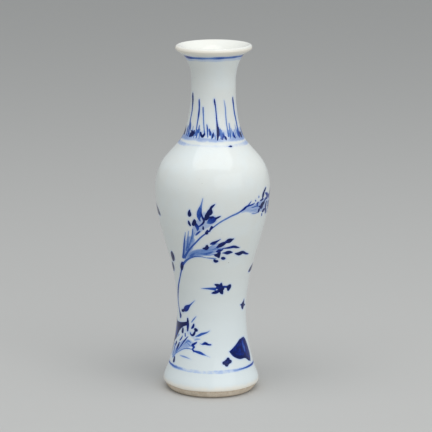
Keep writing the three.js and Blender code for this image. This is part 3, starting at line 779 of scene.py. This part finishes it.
def nearest(places, stroke):
    """Which places lie near a stroke, how far from its edge they are, and its strength there."""
    spots, half, tone = samples(stroke)
    reach = half.max() + FAR_EDGE
    low, high = spots.min(axis=0) - reach, spots.max(axis=0) + reach
    near = np.flatnonzero(np.all((places > low) & (places < high), axis=1))
    gap = np.full(len(near), FAR_EDGE)
    strength = np.zeros(len(near))
    for block in np.array_split(np.arange(len(near)), len(near) * len(spots) // BLOCK_SIZE + 1):
        if len(block):
            away = edge_distance(np.linalg.norm(places[near[block], None] - spots, axis=2), half)
            best = np.argmin(away, axis=1)
            gap[block] = away[np.arange(len(block)), best]
            strength[block] = tone[best]
    return near, gap, strength


def outline_distance(points, corners):
    """How far flat points are from a closed outline, below zero inside it."""
    gap = np.full(len(points), FAR_EDGE)
    crossed = np.zeros(len(points), int)
    for a, b in zip(corners, np.roll(corners, -1, axis=0)):
        side = b - a
        share = np.clip((points - a) @ side / (side @ side), 0, 1)
        gap = np.minimum(gap, np.linalg.norm(points - a - share[:, None] * side, axis=1))
        if side[1] != 0:
            level = (a[1] > points[:, 1]) != (b[1] > points[:, 1])
            crossed += level & (points[:, 0] < a[0] + (points[:, 1] - a[1]) * side[0] / side[1])
    return np.where(crossed % 2 == 1, -gap, gap)


def filled(places, rock):
    """The same as for a stroke, for a filled shape whose face is paler."""
    outline = np.array(rock["outline"], float)
    middle = outline.mean(axis=0)
    angle = np.degrees(np.arctan2(places[:, 0], -places[:, 1]))
    turn = (angle - middle[0] + HALF_TURN) % (2 * HALF_TURN) - HALF_TURN
    wide, tall = np.ptp(outline, axis=0)
    near = np.flatnonzero((np.abs(turn) < wide) & (np.abs(places[:, 2] - middle[1]) < tall))
    flat = np.array([math.radians(1) * radius_at(middle[1]), 1])
    points = np.stack([turn[near], places[near, 2] - middle[1]], axis=1) * flat
    gap = outline_distance(points, (outline - middle) * flat)
    beside, away, _ = nearest(places[near], rock["face"])
    strength = np.full(len(near), rock["tone"])
    strength[beside] += (rock["face_tone"] - rock["tone"]) * (1 - smoothstep(*FACE_BLEND, away))
    return near, gap, strength


def laid(places, strokes, shapes=()):
    """The edge distance and the strength of all strokes of one layer, at every place."""
    found = [nearest(places, stroke) for stroke in strokes]
    found += [filled(places, shape) for shape in shapes]
    edge = np.full(len(places), FAR_EDGE)
    for near, gap, _ in found:
        edge[near] = np.minimum(edge[near], gap)
    tone = np.zeros(len(places))
    for near, gap, strength in found:
        beyond = gap - np.maximum(edge[near], 0)
        tone[near] = np.maximum(tone[near], strength * np.clip(1 - beyond / TONE_BLEND, 0, 1))
    return edge, tone


def painting(angle, profile, shown):
    """The paint at places on the outer glaze: the layer of strokes and the layer of pale washes."""
    radius, height = profile.T
    places = around(radius, angle, height)
    stroke_edge, stroke_tone = laid(places, STROKES, ROCKS)
    wash_edge, wash_tone = laid(places, PALE_STROKES)
    layers = {"stroke_edge": stroke_edge, "wash_edge": wash_edge}
    for edge in layers.values():
        edge[~shown] = FAR_EDGE
    return layers | {"stroke_tone": stroke_tone, "wash_tone": wash_tone}


# Materials, all from nodes. Sizes and heights are given in millimetres, and turned into metres
# where they meet the object coordinates.
def rgb(red, green, blue):
    """A colour given as it shows on a screen, 0 to 255, as the shader wants it."""
    values = np.array([red, green, blue]) / 255
    return (*np.where(values <= 0.04045, values / 12.92, ((values + 0.055) / 1.055) ** 2.4), 1.0)


def tint(shown):
    """What turns the white glaze into the colour shown."""
    return tuple(a / b for a, b in zip(rgb(*shown), GLAZE_WHITE))


class Look:
    """A material and short ways to add nodes to it."""

    def __init__(self, name):
        self.material = bpy.data.materials.new(name)
        self.material.use_nodes = True
        self.tree = self.material.node_tree
        self.shader = self.tree.nodes["Principled BSDF"]
        self.place = self.add("ShaderNodeTexCoord").outputs["Object"]
        split = self.add("ShaderNodeSeparateXYZ", {"Vector": self.place})
        self.height = self.maths("DIVIDE", split.outputs["Z"], MM)

    def feed(self, socket, value):
        """Links an input to another node's output, or sets it to a constant."""
        if isinstance(value, bpy.types.NodeSocket):
            self.tree.links.new(value, socket)
        else:
            socket.default_value = value

    def add(self, kind, inputs=None, **settings):
        node = self.tree.nodes.new(kind)
        for key, value in settings.items():
            setattr(node, key, value)
        for key, value in (inputs or {}).items():
            self.feed(node.inputs[key], value)
        return node

    def maths(self, operation, a, b=0.0, c=0.0):
        return self.add("ShaderNodeMath", {0: a, 1: b, 2: c}, operation=operation).outputs[0]

    def noise(self, size, detail=2.0, roughness=0.5):
        """Noise with features of a size in millimetres, from 0 to 1."""
        inputs = {"Vector": self.place, "Scale": 1 / (size * MM)}
        inputs |= {"Detail": detail, "Roughness": roughness}
        return self.add("ShaderNodeTexNoise", inputs).outputs["Fac"]

    def stretch(self, value, from_low, from_high, to_low=0.0, to_high=1.0):
        inputs = {0: value, 1: from_low, 2: from_high, 3: to_low, 4: to_high}
        return self.add("ShaderNodeMapRange", inputs, interpolation_type="SMOOTHSTEP").outputs[0]

    def mix(self, share, a, b, blend="MIX"):
        """Two colours mixed, by a node whose sockets 6, 7 and 2 are those for colours."""
        inputs = {0: share, 6: a, 7: b}
        return self.add("ShaderNodeMix", inputs, data_type="RGBA", blend_type=blend).outputs[2]

    def attribute(self, name):
        return self.add("ShaderNodeAttribute", attribute_name=name).outputs["Fac"]

    def set(self, name, value):
        self.feed(self.shader.inputs[name], value)

    def bump(self, height, depth):
        """Bumps as deep as given, in millimetres, where height goes from 0 to 1."""
        inputs = {"Height": height, "Distance": depth * MM, "Strength": 1.0}
        self.set("Normal", self.add("ShaderNodeBump", inputs).outputs["Normal"])


# The glaze's own colours as they show, its gloss, and the depth of its uneven skin.
GLAZE_WHITE = rgb(226, 230, 227)
GLAZE_COOL = rgb(226, 236, 239)
GLAZE_CREAM = rgb(242, 236, 223)
IRON = rgb(112, 92, 74)
GLAZE_ROUGHNESS = (0.07, 0.13)
GLAZE_IOR = 1.34
SKIN_DEPTH = 0.02

# Heights: those up to which each glaze is pooled, and those where it runs thin and shows cream,
# under the lip, at the rim inside and above the bare foot.
OUTER_POOL = (14, 60)
INNER_POOL = (8, 16)
BASE_POOL = (1.5, 2.7)
LIP_CREAM = (116.9, 118.6)
CROWN = (119.2, 120)
RIM_CREAM = (111, 118)
FOOT_CREAM = (4.8, 2.9)


def glaze(look, pooled, thin=0.0):
    """A glossy glaze over white clay: cooler where it runs thick, cream where it runs thin."""
    thick = look.maths("MULTIPLY", look.stretch(look.height, *pooled, 1, 0), 0.8)
    thick = look.maths("MAXIMUM", thick, look.stretch(look.noise(9, 3), 0.35, 0.75, 0, 0.5))
    colour = look.mix(thick, GLAZE_WHITE, GLAZE_COOL)
    colour = look.mix(thin, colour, GLAZE_CREAM)
    specks = look.stretch(look.noise(0.8, 0), 0.89, 0.91, 0, 0.6)
    colour = look.mix(specks, colour, IRON)
    look.set("Roughness", look.stretch(look.noise(3, 3), 0.3, 0.7, *GLAZE_ROUGHNESS))
    look.set("IOR", GLAZE_IOR)
    skin = look.maths("MULTIPLY_ADD", look.noise(1.6, 1), 0.35, look.noise(5, 1))
    look.bump(skin, SKIN_DEPTH)
    return colour


# The cobalt as it shows through the glaze, from a pale wash to a blue that is nearly black.
BLUES = [
    (0.18, (188, 203, 228)),
    (0.34, (152, 173, 215)),
    (0.5, (106, 140, 200)),
    (0.65, (54, 94, 174)),
    (0.8, (8, 54, 150)),
    (0.92, (0, 34, 122)),
    (1.0, (0, 20, 82)),
]


def blue_tint(look, blue):
    """What the white glaze is multiplied by, where the blue has the given strength."""
    ramp = look.add("ShaderNodeValToRGB", {"Fac": blue})
    stops = ramp.color_ramp.elements
    stops[0].color = (1, 1, 1, 1)
    stops[1].color = tint(BLUES[-1][1])
    for position, colour in BLUES[:-1]:
        stops.new(position).color = tint(colour)
    return ramp.outputs["Color"]


def painted_glaze():
    """The outer glaze with the cobalt painting under it."""
    look = Look("painted_glaze")
    level = look.maths("SUBTRACT", look.height, 0.6)
    level = look.maths("MULTIPLY_ADD", look.noise(2.5), 1.2, level)
    lip = look.stretch(level, *LIP_CREAM)
    lip = look.maths("MULTIPLY", lip, look.stretch(look.height, *CROWN, 0.9, 0.3))
    thin = look.maths("MAXIMUM", lip, look.stretch(level, *FOOT_CREAM, 0, 0.85))
    white = glaze(look, OUTER_POOL, thin)
    grain = look.maths("SUBTRACT", look.noise(0.3, 2, 0.6), 0.5)
    drift = look.maths("SUBTRACT", look.noise(1.3, 1), 0.5)

    def covered(name, feather, grain_reach, drift_reach):
        """Where a layer of paint lies, with edges as ragged and as soft as asked for."""
        edge = look.maths("MULTIPLY_ADD", grain, grain_reach, look.attribute(name + "_edge"))
        edge = look.maths("MULTIPLY_ADD", drift, drift_reach, edge)
        return look.stretch(edge, feather, -feather)

    uneven = look.maths("MULTIPLY_ADD", drift, 0.3, look.maths("MULTIPLY_ADD", grain, 0.25, 1.0))
    tone = look.maths("MULTIPLY", look.attribute("stroke_tone"), uneven)
    heaped = look.maths("MULTIPLY", look.stretch(look.noise(0.6, 1), 0.52, 0.66, 0, 0.06), tone)
    stroke = look.maths("ADD", tone, heaped)
    stroke = look.maths("MULTIPLY", stroke, covered("stroke", 0.08, 0.12, 0.1))
    wash = look.maths("MULTIPLY", look.attribute("wash_tone"), uneven)
    wash = look.maths("MULTIPLY", wash, covered("wash", 0.4, 0.3, 0.45))
    halo = look.stretch(look.attribute("stroke_edge"), 0.8, 0.0, 0, 0.12)
    halo = look.maths("MULTIPLY", halo, look.attribute("stroke_tone"))
    under = look.maths("MAXIMUM", wash, halo)
    blue = look.maths("MAXIMUM", under, look.maths("MULTIPLY_ADD", under, 0.12, stroke))
    look.set("Base Color", look.mix(1.0, white, blue_tint(look, blue), "MULTIPLY"))
    return look.material


def plain_glaze(name, pooled):
    """The glaze where nothing is painted. It runs thin towards the rim."""
    look = Look(name)
    look.set("Base Color", glaze(look, pooled, look.stretch(look.height, *RIM_CREAM, 0, 0.4)))
    return look.material


def biscuit():
    """Bare fired clay: gritty, a little dirty, flashed brown close under the glaze, and darker at its
    base with wear and painted contact shade.
    """
    look = Look("bare_clay")
    mottle = look.noise(1.8, 4, 0.6)
    colour = look.mix(look.stretch(mottle, 0.3, 0.7), rgb(229, 216, 198), rgb(210, 196, 175))
    wander = look.maths("MULTIPLY_ADD", look.noise(1.5, 3), 1.4, look.height)
    flash = look.stretch(wander, 2.2, 3.4, 0, 0.3)
    colour = look.mix(flash, colour, rgb(176, 140, 106))
    grit = look.noise(0.28, 1)
    colour = look.mix(look.stretch(grit, 0.68, 0.76, 0, 0.7), colour, rgb(120, 106, 92))
    # Darker towards the standing edge of the foot: wear, and painted contact shade where the foot meets
    # the floor.
    worn_and_shaded = look.maths("MULTIPLY_ADD", mottle, 0.8, look.height)
    colour = look.mix(look.stretch(worn_and_shaded, 1.1, 0.4, 0, 0.75), colour, rgb(146, 133, 117))
    look.set("Base Color", colour)
    look.set("Roughness", look.stretch(mottle, 0.3, 0.7, 0.7, 0.9))
    look.bump(look.maths("ADD", grit, look.noise(0.12, 1)), 0.05)
    return look.material


def slip():
    """Fired slip: paler and finer than the clay that it joins."""
    look = Look("fired_slip")
    mottle = look.noise(1.2, 3)
    shade = look.stretch(mottle, 0.3, 0.7)
    look.set("Base Color", look.mix(shade, rgb(204, 196, 178), rgb(188, 178, 158)))
    look.set("Roughness", look.stretch(mottle, 0.3, 0.7, 0.8, 0.92))
    look.bump(look.noise(0.2, 2), 0.03)
    return look.material


def add_coats():
    """The three coats of glaze. Those outside and in the recess of the base end above bare clay."""
    outer_edge, base_edge = (profiles[node][0][:, 1].min() for node in ("outer_glaze", "base_glaze"))
    look = painted_glaze()
    turned("outer_coat", "outer_glaze", look, COLUMNS, painting, outer_edge)
    look = plain_glaze("inner_glaze_look", INNER_POOL)
    turned("inner_coat", "inner_glaze", look, COLUMNS)
    look = plain_glaze("base_glaze_look", BASE_POOL)
    turned("base_coat", "base_glaze", look, edge_height=base_edge)


def add_clay():
    """The three thrown sections, and the slip in the joints between them."""
    clay = biscuit()
    for part in ("foot", "body", "neck"):
        turned(part + "_clay", part + "_section", clay)
    joint = slip()
    for part in ("waist", "neck"):
        turned(part + "_slip", part + "_luting_ring", joint)


add_coats()
add_clay()

# The camera stands where the photograph was taken from, and leans as it did. Metres and degrees.
CAMERA_BACK = 0.690
CAMERA_UP = 0.2148
LOOK_DOWN = 12.593
LOOK_RIGHT = 0.103
LEAN = 0.49
FOCAL_PIXELS = 2056.9
PHOTO_PIXELS = 432
SENSOR = 36.0
CLIP_START = 0.01
CLIP_END = 50


def turn(degrees, axis):
    """A rotation about an axis."""
    return Matrix.Rotation(math.radians(degrees), 4, axis)


def add_camera():
    data = bpy.data.cameras.new("camera")
    data.sensor_width = SENSOR
    data.lens = FOCAL_PIXELS / PHOTO_PIXELS * SENSOR
    data.clip_start = CLIP_START
    data.clip_end = CLIP_END
    camera = bpy.data.objects.new("camera", data)
    bpy.context.scene.collection.objects.link(camera)
    place = Matrix.Translation((0, -CAMERA_BACK, CAMERA_UP))
    aim = turn(-LOOK_RIGHT, "Z") @ turn(90 - LOOK_DOWN, "X")
    camera.matrix_world = place @ aim @ turn(LEAN, "Z")
    bpy.context.scene.camera = camera


add_camera()

# A plain pale floor, a soft box overhead, a larger one in front to the right, and a pale world.
FLOOR_RADIUS = 4.0
FLOOR_CORNERS = 96
FLOOR_GREY = rgb(190, 190, 188)
FLOOR_ROUGHNESS = 0.85
LIT_PLACE = (0, 0, 0.06)
WORLD_COLOUR = (0.95, 0.98, 1.0, 1)
WORLD_STRENGTH = 0.52


def add_floor():
    corners = []
    for i in range(FLOOR_CORNERS):
        angle = 2 * math.pi * i / FLOOR_CORNERS
        corners.append((FLOOR_RADIUS * math.cos(angle), FLOOR_RADIUS * math.sin(angle), 0))
    mesh = bpy.data.meshes.new("floor")
    mesh.from_pydata(corners, [], [list(range(FLOOR_CORNERS))])
    floor = bpy.data.objects.new("floor", mesh)
    bpy.context.scene.collection.objects.link(floor)
    look = Look("floor")
    look.set("Base Color", FLOOR_GREY)
    look.set("Roughness", FLOOR_ROUGHNESS)
    mesh.materials.append(look.material)


def add_soft_box(name, place, width, height, power):
    data = bpy.data.lights.new(name, "AREA")
    data.shape = "RECTANGLE"
    data.size = width
    data.size_y = height
    data.energy = power
    lamp = bpy.data.objects.new(name, data)
    lamp.location = place
    lamp.rotation_euler = (Vector(LIT_PLACE) - Vector(place)).to_track_quat("-Z", "Y").to_euler()
    bpy.context.scene.collection.objects.link(lamp)


def add_world():
    world = bpy.data.worlds.new("studio")
    world.use_nodes = True
    background = world.node_tree.nodes["Background"]
    background.inputs["Color"].default_value = WORLD_COLOUR
    background.inputs["Strength"].default_value = WORLD_STRENGTH
    bpy.context.scene.world = world


add_floor()
add_soft_box("overhead", place=(0, -0.19, 0.76), width=0.86, height=0.42, power=3.12)
add_soft_box("front", place=(0.8, -1.15, 0.66), width=1.6, height=0.9, power=6.2)
add_world()

bpy.context.scene.view_settings.view_transform = "Standard"
